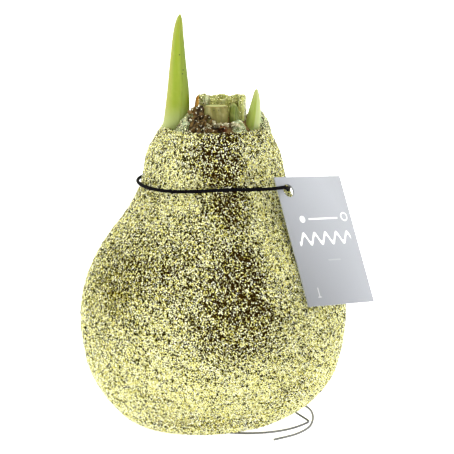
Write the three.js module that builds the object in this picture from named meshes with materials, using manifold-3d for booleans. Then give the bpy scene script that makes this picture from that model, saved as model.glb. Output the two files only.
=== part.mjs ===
// Waxed amaryllis bulb: a bulb dipped in wax and coated with glitter, with its cut neck, three shoots, an
// elastic with a card tag round the neck and a wire stand under the foot.
// Millimetres, +Z up, the front faces -Y. The origin lies in the middle of the widest part, on the surface
// that the foot stands on.
import * as THREE from 'three';
import { mergeVertices } from 'three/addons/utils/BufferGeometryUtils.js';
import Module from 'manifold-3d';

// Wax coat: radius and height of its outer outline, from the foot's edge to the rim at the neck
const coatOutline = [
  [19.1, 0], [24.6, 1.5], [32.1, 5], [40.7, 12], [47.0, 22], [49.7, 34], [50.2, 46], [47.6, 58],
  [41.9, 70], [32.9, 82], [27.4, 93], [25.4, 103], [21.9, 111], [18.1, 117],
];
const coatThickness = 2.6;
const coatRimThickness = 1.4;
const coatThinsFrom = 100; // height above which the coat gets thinner
const coatFloor = 3.4; // height of the inside of the coat over the foot
const footShift = [-5.2, 5.0]; // the foot lies this far to the left of the widest part, and behind it
const footShiftHeight = 5.2; // height over which the shift fades out
const neckShift = 0.4; // the neck leans this far to the right at the rim
const rimHeight = 117;
const rimDip = 1.8; // the rim is this much lower at the front
const rimDipStart = 104; // height where the dip begins

// Bulb: outline of its neck above the coat, radius and height
const neckOutline = [[15.9, 115.2], [13.6, 117.0], [11.6, 119.2], [10.6, 119.6], [9.6, 118.4]];
const neckFloor = 117.4;
const neckScaleCount = 13;
const neckScaleSize = [4.4, 0.8, 4.6]; // width, thickness and length of one papery scale
const neckScaleRing = 13.2; // radius of the ring that the scales stand in
const clearance = 0.3; // gap between pieces that touch
const bulbClearance = 0.34;

// Cut leaf bases: two upright sheaths, open to the front, on one short base
const leafBases = { x: 3.4, y: 1.4, radius: 9.0, bottom: 113.5, floor: 119.2 };
const sheaths = [ // outer radius, thickness, first and last angle in degrees, height of the cut
  [9.0, 2.0, -32, 206, 125.6],
  [6.2, 1.8, 14, 168, 124.6],
];
const sheathBackDip = 2.0; // the cut is this much lower at the back
const sheathCutWave = 0.35;
const paperyStrip = { angle: 203, width: 2.2, thickness: 0.8, top: 127.0 }; // brown, left of the sheaths
const membrane = { x: -2.2, y: -3.2, turn: 0.3, width: 1.8, thickness: 0.8, top: 127.3 }; // by the stump

// Growing and cut stems: each row is a height, the middle's x and y, half width and half depth
const tallShoot = [
  [107.5, -11.6, -0.8, 4.2, 2.9], [112, -12.2, -0.9, 4.8, 3.3], [116.8, -12.7, -1, 5.0, 3.3],
  [127, -12.65, -1, 4.1, 2.9], [138, -12.65, -1, 3.0, 2.3], [148.4, -12.5, -1, 1.95, 1.6],
  [153.6, -12.1, -1, 1.15, 1.0], [155.9, -11.8, -1, 0.12, 0.12],
];
const shortShoot = [
  [108.5, 13.4, -2, 2.5, 2.0], [116, 15.0, -2, 2.8, 2.3], [120.5, 15.6, -2, 2.15, 1.8],
  [124.9, 16.1, -2, 1.3, 1.2], [127.4, 16.2, -2, 0.75, 0.7], [128.3, 16.3, -2, 0.12, 0.12],
];
const bud = [
  [113.5, 8.0, -6.4, 1.8, 1.5], [117, 8.0, -6.4, 1.95, 1.6], [120.5, 8.0, -6.4, 1.75, 1.4],
  [122.6, 8.0, -6.4, 1.1, 1.0], [123.6, 8.0, -6.4, 0.15, 0.15],
];
const stump = [
  [113.5, 1.3, -7.4, 4.0, 3.0], [117, 1.4, -7.4, 4.4, 3.2], [120, 1.4, -7.3, 4.5, 3.2],
  [122.3, 1.4, -7.2, 4.2, 3.0], [122.9, 1.4, -7.2, 3.4, 2.4], [123.1, 1.4, -7.2, 0.3, 0.3],
];

// Card tag and its punched hole, which the elastic holds
const tag = { width: 33.1, height: 49.6, thickness: 0.6, holeRadius: 2.5, holeFromLeft: 5.2, holeFromTop: 5.3 };
const tagHolePlace = [27.7, -15.4, 92.6];
const tagTurn = -46.3; // degrees: the way that the face looks, from +X
const tagLean = 28.2; // degrees: the face looks up by this much
const tagDroop = 6.3; // degrees: the right side hangs lower

// Elastic round the neck. By the tag its points are along the card, up it and out of its face.
const elasticRadius = 0.55;
const elasticHeight = 94.2;
const elasticClearance = 0.36;
const elasticByTag = [[-8.8, 1.1, 1.2], [-5.4, 1.2, 1.4], [-2.8, 1.2, 1.4], [-0.2, 1.0, 0], [1.9, 0.8, -1.6]];

// Wire stand: a ring on the ground under the foot, and a leg that ends in a pin in the bulb
const wireRadius = 0.4;
const wireClearance = 0.35;
const ringCentre = [13.3, 9.6];
const ringRadius = 25.2;
const ringStart = -36; // degrees, clockwise seen from above
const ringOpens = -372;
const ringEnd = -434;
const ringOpening = 0.15; // from where the ring opens its radius grows by this much for each degree
const ringPoints = 23;
const legFoot = [36.5, 0.5];
const legDirection = new THREE.Vector3(-0.82, 0.34, 0.46).normalize();
const legLength = 20;
const legBend = [[8, 0, 0], [3, 0, 0], [1.3, 0, 0.04], [0, -0.8, 0.1]]; // along the leg, forward and up

const wax = new THREE.MeshStandardMaterial({ color: 0xd9d38c, roughness: 0.45, metalness: 0.6 });
const tunic = new THREE.MeshStandardMaterial({ color: 0x7a6440, roughness: 0.9, metalness: 0 });
const leafGreen = new THREE.MeshStandardMaterial({ color: 0x9cae3f, roughness: 0.5, metalness: 0 });
const cutGreen = new THREE.MeshStandardMaterial({ color: 0x9a9b55, roughness: 0.6, metalness: 0 });
const darkGreen = new THREE.MeshStandardMaterial({ color: 0x66702e, roughness: 0.5, metalness: 0 });
const blackElastic = new THREE.MeshStandardMaterial({ color: 0x101010, roughness: 0.7, metalness: 0 });
const silverCard = new THREE.MeshStandardMaterial({ color: 0xc4c5cc, roughness: 0.4, metalness: 0.3 });
const steel = new THREE.MeshStandardMaterial({ color: 0xa8a8a4, roughness: 0.3, metalness: 1 });

const wasm = await Module();
wasm.setup();

// A closed geometry as a solid for cutting and joining. Triangles without area are left out, and so are
// the two end faces of a tube that closes on itself, which lie on each other.
function solidOf(geometry) {
  const bare = geometry.clone();
  bare.deleteAttribute('normal');
  bare.deleteAttribute('uv');
  const merged = mergeVertices(bare, 1e-4);
  const corners = merged.index.array;
  const seen = new Map();
  for (let i = 0; i < corners.length; i += 3) {
    const triangle = [corners[i], corners[i + 1], corners[i + 2]];
    if (new Set(triangle).size < 3) continue;
    const key = [...triangle].sort((a, b) => a - b).join();
    if (seen.has(key)) seen.delete(key);
    else seen.set(key, triangle);
  }
  const vertProperties = new Float32Array(merged.attributes.position.array);
  const triVerts = new Uint32Array([...seen.values()].flat());
  return new wasm.Manifold(new wasm.Mesh({ numProp: 3, vertProperties, triVerts }));
}

function geometryOf(solid) {
  const { vertProperties, triVerts } = solid.getMesh();
  const geometry = new THREE.BufferGeometry();
  geometry.setAttribute('position', new THREE.BufferAttribute(vertProperties, 3));
  geometry.setIndex(new THREE.BufferAttribute(triVerts, 1));
  geometry.computeVertexNormals();
  return geometry;
}

function piece(name, solid, material) {
  const mesh = new THREE.Mesh(geometryOf(solid), material);
  mesh.name = name;
  return mesh;
}

function movePoints(geometry, move) {
  const position = geometry.attributes.position;
  const point = new THREE.Vector3();
  for (let i = 0; i < position.count; i++) {
    point.fromBufferAttribute(position, i);
    move(point);
    position.setXYZ(i, point.x, point.y, point.z);
  }
  return geometry;
}

function smoothLine(points, stepsBetween) {
  const curve = new THREE.SplineCurve(points.map(([x, y]) => new THREE.Vector2(x, y)));
  return curve.getPoints((points.length - 1) * stepsBetween);
}

// Where the middle of the bulb lies at a height
function middleAt(z) {
  const footShare = Math.exp(-z / footShiftHeight);
  return { x: footShift[0] * footShare + neckShift * z / rimHeight, y: footShift[1] * footShare };
}

// The slight lobes of a bulb that grew among others: nothing at the two sides, most between them
function lobesAt(angle) {
  return 1 + 0.008 * Math.sin(2 * angle) + 0.006 * Math.sin(3 * angle) + 0.003 * Math.sin(5 * angle);
}

function giveBulbForm(point) {
  const angle = Math.atan2(point.y, point.x);
  const radius = Math.hypot(point.x, point.y) * lobesAt(angle);
  const dipShare = THREE.MathUtils.smoothstep(point.z, rimDipStart, rimHeight);
  const front = Math.max(0, -Math.sin(angle)) ** 2;
  const middle = middleAt(point.z);
  point.x = radius * Math.cos(angle) + middle.x;
  point.y = radius * Math.sin(angle) + middle.y;
  point.z -= rimDip * dipShare * front;
}

function turned(profile, sides) {
  const lathe = new THREE.LatheGeometry(profile, sides);
  lathe.rotateX(Math.PI / 2);
  return solidOf(movePoints(lathe, giveBulbForm));
}

// The coat's outline moved inwards, which ends at the height where it meets the floor
function insetOutline(outline, depthAt, floor) {
  const inset = outline.map((point, i) => {
    const before = outline[Math.max(0, i - 1)];
    const after = outline[Math.min(outline.length - 1, i + 1)];
    const along = after.clone().sub(before).normalize();
    const depth = depthAt(point.y);
    return new THREE.Vector2(point.x - along.y * depth, point.y + along.x * depth);
  });
  return inset.filter((point) => point.y > floor);
}

function wallAt(z) {
  const share = THREE.MathUtils.smoothstep(z, coatThinsFrom, rimHeight);
  return THREE.MathUtils.lerp(coatThickness, coatRimThickness, share);
}

const onAxis = (z) => new THREE.Vector2(0, z);
const coatSides = 48;

// The coat without holes: foot, outside, rim, inside and floor
function coatBlank() {
  const foot = [onAxis(0), new THREE.Vector2(coatOutline[0][0] / 2, 0)];
  const inside = insetOutline(smoothLine(coatOutline, 1), wallAt, coatFloor).reverse();
  const floorEdge = new THREE.Vector2(inside.at(-1).x - 0.8, coatFloor);
  return turned([...foot, ...smoothLine(coatOutline, 2), ...inside, floorEdge, onAxis(coatFloor)], coatSides);
}

// The bulb without holes fills the coat up to the neck
function bulbBlank() {
  const bottom = coatFloor + clearance;
  const line = insetOutline(smoothLine(coatOutline, 1), (z) => wallAt(z) + bulbClearance, bottom);
  const floorEdge = new THREE.Vector2(line[0].x - 0.8, bottom);
  const side = line.filter((point) => point.y < neckOutline[0][1] - 1.5);
  const neck = neckOutline.map(([radius, z]) => new THREE.Vector2(radius, z));
  return turned([onAxis(bottom), floorEdge, ...side, ...neck, onAxis(neckFloor)], coatSides);
}

// A stem with a round or pointed end: rings of an ellipse, smooth between the given rows. With room it is
// that much larger all round, for the hole that the stem stands in.
function stem(rows, sides, room = 0) {
  const middle = new THREE.CatmullRomCurve3(rows.map(([z, x, y]) => new THREE.Vector3(x, y, z)));
  const half = new THREE.CatmullRomCurve3(rows.map((row) => new THREE.Vector3(row[3], row[4], 0)));
  const tube = new THREE.CylinderGeometry(1, 1, 1, sides, 2 * (rows.length - 1));
  tube.rotateX(Math.PI / 2);
  return solidOf(movePoints(tube, (point) => {
    const share = THREE.MathUtils.clamp(point.z + 0.5, 0, 1);
    const centre = middle.getPoint(share);
    const halves = half.getPoint(share);
    point.x = centre.x + point.x * (halves.x + room);
    point.y = centre.y + point.y * (halves.y + room);
    point.z = centre.z;
    if (share === 0) point.z -= room;
    if (share === 1) point.z += room;
  }));
}

// An upright plate bent round an axis, with its top cut off in a wave
function sheath([outerRadius, thickness, from, to, top], bottom) {
  const first = THREE.MathUtils.degToRad(from);
  const last = THREE.MathUtils.degToRad(to);
  const arc = new THREE.Shape();
  arc.absarc(0, 0, outerRadius, first, last, false);
  arc.absarc(0, 0, outerRadius - thickness, last, first, true);
  arc.closePath();
  const extrusion = { depth: top - bottom, bevelEnabled: false, curveSegments: 16 };
  const wall = new THREE.ExtrudeGeometry(arc, extrusion);
  wall.translate(0, 0, bottom);
  return movePoints(wall, (point) => {
    const angle = Math.atan2(point.y, point.x);
    const wave = sheathCutWave * Math.sin(7 * angle + outerRadius);
    if (point.z > bottom + 1) point.z += wave - sheathBackDip * Math.max(0, Math.sin(angle));
  });
}

function uprightStrip({ width, thickness, top, turn }, x, y, bottom) {
  const strip = new THREE.BoxGeometry(width, thickness, top - bottom);
  strip.translate(0, 0, (top - bottom) / 2);
  strip.rotateZ(turn);
  strip.translate(x, y, bottom);
  return solidOf(strip);
}

// The round base that the cut sheaths stand on, or the hole for it in the bulb
function leafBaseDisc(room, height) {
  const radius = leafBases.radius + room;
  const disc = new THREE.CylinderGeometry(radius, radius, height + room, 32);
  disc.rotateX(Math.PI / 2);
  disc.translate(leafBases.x, leafBases.y, leafBases.bottom - room + (height + room) / 2);
  return solidOf(disc);
}

function leafBasesBlank() {
  const sunkTo = leafBases.floor - 1;
  let solid = leafBaseDisc(0, leafBases.floor - leafBases.bottom);
  for (const row of sheaths) {
    const wall = sheath(row, sunkTo);
    wall.translate(leafBases.x, leafBases.y, 0);
    solid = solid.add(solidOf(wall));
  }
  return solid.add(uprightStrip(membrane, membrane.x, membrane.y, sunkTo));
}

function seeded(start) {
  let state = start;
  return () => {
    state = (state * 16807) % 2147483647;
    return state / 2147483647;
  };
}

// The papery scales of the neck, each a thin tongue that leans out a little
function neckScales() {
  const random = seeded(7);
  const [width, thickness, length] = neckScaleSize;
  const scales = [];
  for (let i = 0; i < neckScaleCount; i++) {
    const tongue = new THREE.SphereGeometry(0.5, 8, 6);
    tongue.scale(width * (0.8 + 0.5 * random()), thickness, length * (0.8 + 0.5 * random()));
    tongue.rotateX(0.5 + 0.5 * random());
    tongue.rotateY(0.4 * (random() - 0.5));
    tongue.translate(0, -neckScaleRing + 1.6 * (random() - 0.5), neckFloor + random());
    tongue.rotateZ((i + 0.6 * random()) / neckScaleCount * 2 * Math.PI);
    tongue.translate(neckShift, 0, 0);
    scales.push(solidOf(tongue));
  }
  return scales;
}

// The strip of brown papery scale that stands against the left end of the outer sheath
function paperyStripSolid() {
  const radius = leafBases.radius + clearance + paperyStrip.thickness / 2;
  const angle = THREE.MathUtils.degToRad(paperyStrip.angle);
  const x = leafBases.x + radius * Math.cos(angle);
  const y = leafBases.y + radius * Math.sin(angle);
  return uprightStrip({ ...paperyStrip, turn: angle + Math.PI / 2 }, x, y, neckFloor - 1);
}

// A round wire or cord along a route, with eight sides
function cord(route, radius, steps) {
  const section = new THREE.Shape();
  for (let i = 0; i < 8; i++) {
    const angle = i / 8 * 2 * Math.PI;
    if (i === 0) section.moveTo(radius, 0);
    else section.lineTo(radius * Math.cos(angle), radius * Math.sin(angle));
  }
  section.closePath();
  return solidOf(new THREE.ExtrudeGeometry(section, { steps, extrudePath: route, bevelEnabled: false }));
}

// The pin and leg, the bend at the leg's foot, the ring under the foot and its free end, which spirals out
function wireRoute(pinExtra) {
  const foot = new THREE.Vector3(...legFoot, wireRadius);
  const points = [[legLength + pinExtra, 0, 0], [14, 0, 0], ...legBend].map(([along, forward, up]) => {
    const point = foot.clone().addScaledVector(legDirection, along);
    point.y += forward;
    point.z += up;
    return point;
  });
  for (let i = 0; i < ringPoints; i++) {
    const degrees = THREE.MathUtils.lerp(ringStart, ringEnd, i / (ringPoints - 1));
    const angle = THREE.MathUtils.degToRad(degrees);
    const radius = ringRadius + Math.max(0, ringOpens - degrees) * ringOpening;
    const x = ringCentre[0] + radius * Math.cos(angle);
    const y = ringCentre[1] + radius * Math.sin(angle);
    points.push(new THREE.Vector3(x, y, wireRadius));
  }
  return new THREE.CatmullRomCurve3(points);
}

// The tag hangs in groups that turn, lean and droop about its hole. In the last one x runs along the
// card's width, y up the card and z out of its face.
function tagGroups() {
  const turn = new THREE.Group();
  const lean = new THREE.Group();
  const droop = new THREE.Group();
  turn.position.set(...tagHolePlace);
  turn.rotation.z = THREE.MathUtils.degToRad(tagTurn + 90);
  lean.rotation.x = THREE.MathUtils.degToRad(90 - tagLean);
  droop.rotation.z = THREE.MathUtils.degToRad(-tagDroop);
  turn.add(lean);
  lean.add(droop);
  turn.updateMatrixWorld(true);
  return { turn, droop };
}

function tagCard() {
  const left = -tag.holeFromLeft;
  const top = tag.holeFromTop;
  const outline = new THREE.Shape();
  outline.moveTo(left, top - tag.height);
  outline.lineTo(left + tag.width, top - tag.height);
  outline.lineTo(left + tag.width, top);
  outline.lineTo(left, top);
  outline.closePath();
  const hole = new THREE.Path();
  hole.absarc(0, 0, tag.holeRadius, 0, 2 * Math.PI, true);
  outline.holes.push(hole);
  const extrusion = { depth: tag.thickness, bevelEnabled: false, curveSegments: 12 };
  const card = new THREE.ExtrudeGeometry(outline, extrusion);
  card.translate(0, 0, -tag.thickness / 2);
  return solidOf(card);
}

// Round the neck, over the left edge of the tag, through its hole and back to the neck behind it
function elasticRoute(tagGroup) {
  const line = smoothLine(coatOutline, 12);
  const neckRadius = line.findLast((point) => point.y <= elasticHeight).x;
  const middle = middleAt(elasticHeight);
  const points = [];
  for (let degrees = 10; degrees <= 300; degrees += 10) {
    const angle = THREE.MathUtils.degToRad(degrees);
    const radius = neckRadius * lobesAt(angle) + elasticRadius + elasticClearance;
    const x = middle.x + radius * Math.cos(angle);
    points.push(new THREE.Vector3(x, middle.y + radius * Math.sin(angle), elasticHeight));
  }
  for (const place of elasticByTag) points.push(tagGroup.localToWorld(new THREE.Vector3(...place)));
  return new THREE.CatmullRomCurve3(points, true);
}

const stems = {
  neck_stump: { rows: stump, material: cutGreen },
  shoot_tall: { rows: tallShoot, material: leafGreen },
  shoot_short: { rows: shortShoot, material: leafGreen },
  shoot_bud: { rows: bud, material: darkGreen },
};
const stemSides = 18;
const stemHoles = Object.values(stems).map(({ rows }) => stem(rows, stemSides, clearance));
const wireHole = cord(wireRoute(0.8), wireRadius + wireClearance, 110);
const cutAll = (solid, holes) => holes.reduce((rest, hole) => rest.subtract(hole), solid);

const leafBaseHole = leafBaseDisc(clearance + 0.05, 20);
const bulbScales = [...neckScales(), paperyStripSolid()];
const bulbWithScales = bulbScales.reduce((all, scale) => all.add(scale), bulbBlank());
const bulb = cutAll(bulbWithScales, [coatBlank(), leafBaseHole, wireHole, ...stemHoles]);
const { turn: tagPlace, droop: tagGroup } = tagGroups();

const part = new THREE.Group();
part.add(piece('wax_coat', cutAll(coatBlank(), [wireHole, ...stemHoles]), wax));
part.add(piece('bulb', bulb, tunic));
part.add(piece('leaf_bases', cutAll(leafBasesBlank(), stemHoles), cutGreen));
for (const [name, { rows, material }] of Object.entries(stems)) {
  part.add(piece(name, stem(rows, stemSides), material));
}
part.add(piece('neck_elastic', cord(elasticRoute(tagGroup), elasticRadius, 80), blackElastic));
part.add(piece('wire_stand', cord(wireRoute(0), wireRadius, 96), steel));
tagGroup.add(piece('tag', tagCard(), silverCard));
part.add(tagPlace);

export default part;
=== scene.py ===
# %% [markdown]
# # A waxed amaryllis bulb
# The real thing is a living bulb that was dipped in soft wax and rolled in glitter while the wax was warm.
# Its cut neck and its first shoots stand out at the top, an elastic holds a card tag, and a steel wire
# coil under it keeps it upright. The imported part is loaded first: it fixes every size and place, and the
# finer pieces below are built round it, in metres, in the same frame.

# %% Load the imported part
import math

import bpy
import numpy as np
from mathutils.bvhtree import BVHTree
from mathutils import Matrix, Vector, noise


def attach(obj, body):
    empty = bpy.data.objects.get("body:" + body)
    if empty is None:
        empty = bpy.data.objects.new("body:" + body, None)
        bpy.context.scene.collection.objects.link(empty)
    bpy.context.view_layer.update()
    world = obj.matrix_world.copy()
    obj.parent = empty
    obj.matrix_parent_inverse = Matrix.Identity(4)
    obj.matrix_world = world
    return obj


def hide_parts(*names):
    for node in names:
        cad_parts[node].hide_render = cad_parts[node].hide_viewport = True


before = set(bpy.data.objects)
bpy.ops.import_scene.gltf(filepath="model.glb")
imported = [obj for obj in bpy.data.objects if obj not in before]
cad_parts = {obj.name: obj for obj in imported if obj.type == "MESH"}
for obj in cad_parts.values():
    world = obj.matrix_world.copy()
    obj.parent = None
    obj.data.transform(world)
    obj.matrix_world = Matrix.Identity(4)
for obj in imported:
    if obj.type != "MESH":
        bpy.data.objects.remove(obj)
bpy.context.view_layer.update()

mm = 0.001
rng = np.random.default_rng(11)
print("CAD nodes:", ", ".join(sorted(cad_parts)))

# %% [markdown]
# ## Camera
# A product shot is taken from a little above with a long lens, so that the object keeps its true outline.
# A camera's lens follows from three things: how far it stands, how wide the view is there, and its sensor.

# %% Camera
look_at = Vector((5.4, 0, 76)) * mm
camera_distance = 0.75
camera_tilt = math.radians(11.4)
view_width = 170.0 * mm
sensor_width = 36.0
toward_camera = Vector((0, -math.cos(camera_tilt), math.sin(camera_tilt)))
bpy.ops.object.camera_add(
    location=look_at + toward_camera * camera_distance,
    rotation=(math.pi / 2 - camera_tilt, 0, 0),
)
camera = bpy.context.object
camera.data.sensor_width = sensor_width
camera.data.lens = sensor_width * camera_distance / view_width
camera.data.clip_start = 0.01
bpy.context.scene.camera = camera
bpy.context.scene.view_settings.view_transform = "Standard"
print("lens in millimetres:", round(camera.data.lens, 1))

# %% [markdown]
# ## Writing shaders as sums
# A shader is a graph of nodes. Adding each Math node by hand hides the idea, so one small class wraps a
# socket and gives it Python's signs: `1 - mask * 0.5` then adds its own nodes. A second class holds the
# graph. Its method `node` adds any node from its type, its settings and its sockets, and the methods below
# it are short names for the nodes that are used most.


# %% A socket with arithmetic
class Reading:
    """What a socket gives, with Python's signs."""

    def __init__(self, graph, socket):
        self.graph = graph
        self.socket = socket

    def maths(self, operation, first, second=0.0):
        return self.graph.node("Math", {"operation": operation}, {0: first, 1: second})

    def __add__(self, other):
        return self.maths("ADD", self, other)

    __radd__ = __add__

    def __sub__(self, other):
        return self.maths("SUBTRACT", self, other)

    def __rsub__(self, other):
        return self.maths("SUBTRACT", other, self)

    def __mul__(self, other):
        return self.maths("MULTIPLY", self, other)

    __rmul__ = __mul__

    def __abs__(self):
        return self.maths("ABSOLUTE", self)

    def above(self, low, high):
        """0 below low, 1 over high and a soft step between."""
        settings = {"interpolation_type": "SMOOTHSTEP"}
        return self.graph.node("MapRange", settings, {0: self, 1: low, 2: high})


class Graph:
    """The nodes of one material or world."""

    def __init__(self, owner):
        owner.use_nodes = True
        self.tree = owner.node_tree
        self.end = next(n for n in self.tree.nodes if n.type in ("BSDF_PRINCIPLED", "BACKGROUND"))

    def node(self, kind, settings=None, values=None, give=0):
        made = self.tree.nodes.new("ShaderNode" + kind)
        for key, value in (settings or {}).items():
            setattr(made, key, value)
        for key, value in (values or {}).items():
            self.plug(made.inputs[key], value)
        return Reading(self, made.outputs[give])

    def plug(self, socket, value):
        if isinstance(value, Reading):
            self.tree.links.new(value.socket, socket)
        elif isinstance(value, (tuple, list, Vector)) and socket.type == "RGBA":
            socket.default_value = (*value[:3], 1.0)
        else:
            socket.default_value = value

    def place(self):
        return self.node("TexCoord", give="Object")

    def cloud(self, grain, detail=3.0, stretch=None):
        """Soft noise from 0 to 1, whose patches are about `grain` metres across."""
        where = self.place()
        if stretch:
            where = self.node("Mapping", values={"Vector": where, "Scale": stretch})
        return self.node("TexNoise", values={"Vector": where, "Scale": 1 / grain, "Detail": detail})

    def cells(self, size, give="Color"):
        """One random colour, or a distance, for each cell of about `size` metres."""
        return self.node("TexVoronoi", values={"Vector": self.place(), "Scale": 1 / size}, give=give)

    def part(self, whole, give):
        """One channel of a colour, or one coordinate of a direction or a place."""
        kind = "SeparateXYZ" if give in "XYZ" else "SeparateColor"
        return self.node(kind, values={0: whole}, give=give)

    def blend(self, mask, first, second):
        return self.node("Mix", {"data_type": "RGBA"}, {0: mask, 6: first, 7: second}, give=2)

    def bump(self, height, depth, strength=1.0):
        values = {"Height": height, "Distance": depth, "Strength": strength}
        return self.node("Bump", values=values, give="Normal")

    def measure(self, name):
        return self.node("Attribute", {"attribute_name": name}, give="Fac")


def paint(red, green, blue):
    """A colour as a screen names it, 0 to 255, in the linear light that shaders work in."""
    shares = [c / 255 for c in (red, green, blue)]
    return tuple(c / 12.92 if c <= 0.04045 else ((c + 0.055) / 1.055) ** 2.4 for c in shares)


def finish_named(name, **sockets):
    """A new material. What is the same all over goes straight onto the shader's own sockets."""
    material = bpy.data.materials.new(name)
    graph = Graph(material)
    dress(graph, **sockets)
    return material, graph


def dress(graph, **sockets):
    for key, value in sockets.items():
        graph.plug(graph.end.inputs[key.replace("_", " ").title().replace("Ior", "IOR")], value)


# %% [markdown]
# ## Floor and light
# Glitter shows what it mirrors. Each flake is a tiny mirror, so a room that is bright all round makes it
# a flat pale skin, and a room with dark parts makes it sparkle. A studio is bright above and at the sides
# and dark behind the camera, and the world below is made like that: pale, with a dim spot toward the
# camera, a weak one at the back and dim panels all round, so that the bulb sparkles from every side. The
# dimmer a part is, the yellower it is, as if the flakes mirrored their gold neighbours there.

# %% Floor
bpy.ops.object.select_all(action="DESELECT")
bpy.ops.mesh.primitive_circle_add(vertices=96, radius=3.0, fill_type="NGON", location=(0, 0, -0.05 * mm))
floor = bpy.context.object
floor.name = "floor"
floor_paint, graph = finish_named("floor paint", base_color=paint(236, 236, 234), roughness=0.9)
dress(graph, emission_color=paint(255, 255, 255), emission_strength=0.94)
floor.data.materials.append(floor_paint)

# %% World and lamps
world = bpy.data.worlds.new("studio")
bpy.context.scene.world = world
graph = Graph(world)
way = graph.node("TexCoord", give="Generated")
front_dim = 0.03
back_dim = 0.8
panel_dim = 0.07
room_light = 1.98
dim_tint = (1.0, 0.95, 0.1)


def lobe(direction, inner, outer, dimness):
    """1 away from a direction, `dimness` within `inner` degrees of it."""
    values = {0: way, 1: direction}
    toward = graph.node("VectorMath", {"operation": "DOT_PRODUCT"}, values, give="Value")
    spot = toward.above(math.cos(math.radians(outer)), math.cos(math.radians(inner)))
    return 1 - spot * (1 - dimness)


panels = graph.node("TexNoise", values={"Vector": way, "Scale": 4.2, "Detail": 1.0}).above(0.51, 0.55)
room = lobe(toward_camera, 22, 56, front_dim) * lobe((0, 1, 0.1), 20, 60, back_dim)
room = room * (1 - panels * (1 - panel_dim))
seen = graph.node("LightPath", give="Is Camera Ray")
graph.plug(graph.end.inputs["Strength"], seen + (1 - seen) * room * room_light)
graph.plug(graph.end.inputs["Color"], graph.blend((1 - seen) * (1 - room), (1.0, 1.0, 1.0), dim_tint))


bulb_middle = Vector((0, 0, 0.06))


def softbox(name, place, size, watts):
    """A square lamp that faces the middle of the bulb."""
    place = Vector(place)
    turn = (bulb_middle - place).to_track_quat("-Z", "Y").to_euler()
    bpy.ops.object.light_add(type="AREA", location=place, rotation=turn)
    lamp = bpy.context.object
    lamp.name = name
    lamp.data.size = size
    lamp.data.energy = watts


softbox("left softbox", (-0.62, -0.35, 0.45), 0.45, 2.6)
softbox("right softbox", (0.42, -0.56, 0.38), 0.40, 2.2)
softbox("top softbox", (0.05, 0.10, 0.85), 0.50, 2.4)
print("floor, world and three softboxes are up")

# %% [markdown]
# ## Growing a form ring by ring
# The coat, the shoots and the bud are all stacks of rings. By hand, one adds a circle, extrudes it up and
# scales it, again and again. `grow` does just that: a station gives the middle of a ring and its half
# width and half depth, and each new station is one extrusion. Between the stations that matter the line
# is filled in with a smooth curve through them.
# Extruding numbers the new points in no fixed order, and flakes are sown on these pieces later. So
# `fix_order` numbers everything anew by distance from one odd place. Two points can still be as far from
# it as each other, so the sowing also sorts the faces by where they lie.

# %% Helpers for growing
odd_place = Vector((71.3, 43.9, -29.7)) * mm


def start_fresh():
    if bpy.context.object and bpy.context.object.mode != "OBJECT":
        bpy.ops.object.mode_set(mode="OBJECT")
    bpy.ops.object.select_all(action="DESELECT")


def pick(piece):
    start_fresh()
    piece.select_set(True)
    bpy.context.view_layer.objects.active = piece


def smooth_through(points, steps, even=True):
    """The points with `steps` - 1 more between each two, on one smooth curve through them all.

    Where the spacing is uneven, as at a bend in a wire, the curve is kept from swinging out.
    """
    rows = np.array(points, float)
    rows = np.vstack([2 * rows[0] - rows[1], rows, 2 * rows[-1] - rows[-2]])
    line = []
    for before, here, after, beyond in zip(rows, rows[1:], rows[2:], rows[3:]):
        gaps = [1.0, 1.0, 1.0]
        if not even:
            pairs = ((before, here), (here, after), (after, beyond))
            gaps = [max(np.linalg.norm(b - a), 1e-6) ** 0.5 for a, b in pairs]
        earlier, gap, later = gaps
        leaving = (here - before) / earlier - (after - before) / (earlier + gap) + (after - here) / gap
        coming = (after - here) / gap - (beyond - here) / (gap + later) + (beyond - after) / later
        leaving, coming = leaving * gap, coming * gap
        for t in np.arange(steps) / steps:
            bend = (3 * (after - here) - 2 * leaving - coming) * t**2
            twist = (2 * (here - after) + leaving + coming) * t**3
            line.append(here + leaving * t + bend + twist)
    return [*line, rows[-2]]


def fix_order():
    """Numbers the points, edges and faces of the piece in edit mode by distance from the odd place."""
    bpy.ops.mesh.select_all(action="SELECT")
    bpy.context.scene.cursor.location = odd_place
    bpy.ops.mesh.sort_elements(type="CURSOR_DISTANCE", elements={"VERT", "EDGE", "FACE"})
    bpy.context.scene.cursor.location = (0, 0, 0)


def grow(name, stations, sides):
    """A closed form through stations (x, y, z, half width, half depth), all in millimetres."""
    start_fresh()
    bpy.ops.mesh.primitive_circle_add(vertices=sides, radius=1, fill_type="NGON")
    piece = bpy.context.object
    piece.name = name
    bpy.ops.object.mode_set(mode="EDIT")
    bpy.ops.mesh.select_all(action="SELECT")
    here = Vector((0, 0, 0))
    size = Vector((1, 1))
    for number, station in enumerate(stations):
        there = Vector(station[:3]) * mm
        wanted = Vector(station[3:]) * mm
        if number:
            bpy.ops.mesh.extrude_region_move(TRANSFORM_OT_translate={"value": there - here})
        else:
            bpy.ops.transform.translate(value=there)
        scale = (wanted.x / size.x, wanted.y / size.y, 1)
        bpy.ops.transform.resize(value=scale, center_override=there)
        here = there
        size = wanted
    fix_order()
    bpy.ops.object.mode_set(mode="OBJECT")
    return piece


def add_modifier(piece, kind, **settings):
    """Adds a modifier with these settings and applies it at once."""
    pick(piece)
    modifier = piece.modifiers.new(kind.lower(), kind)
    for key, value in settings.items():
        setattr(modifier, key, value)
    bpy.ops.object.modifier_apply(modifier=modifier.name)


def smooth_finely(piece, levels):
    add_modifier(piece, "SUBSURF", levels=levels, render_levels=levels)
    bpy.ops.object.shade_smooth()


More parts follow.
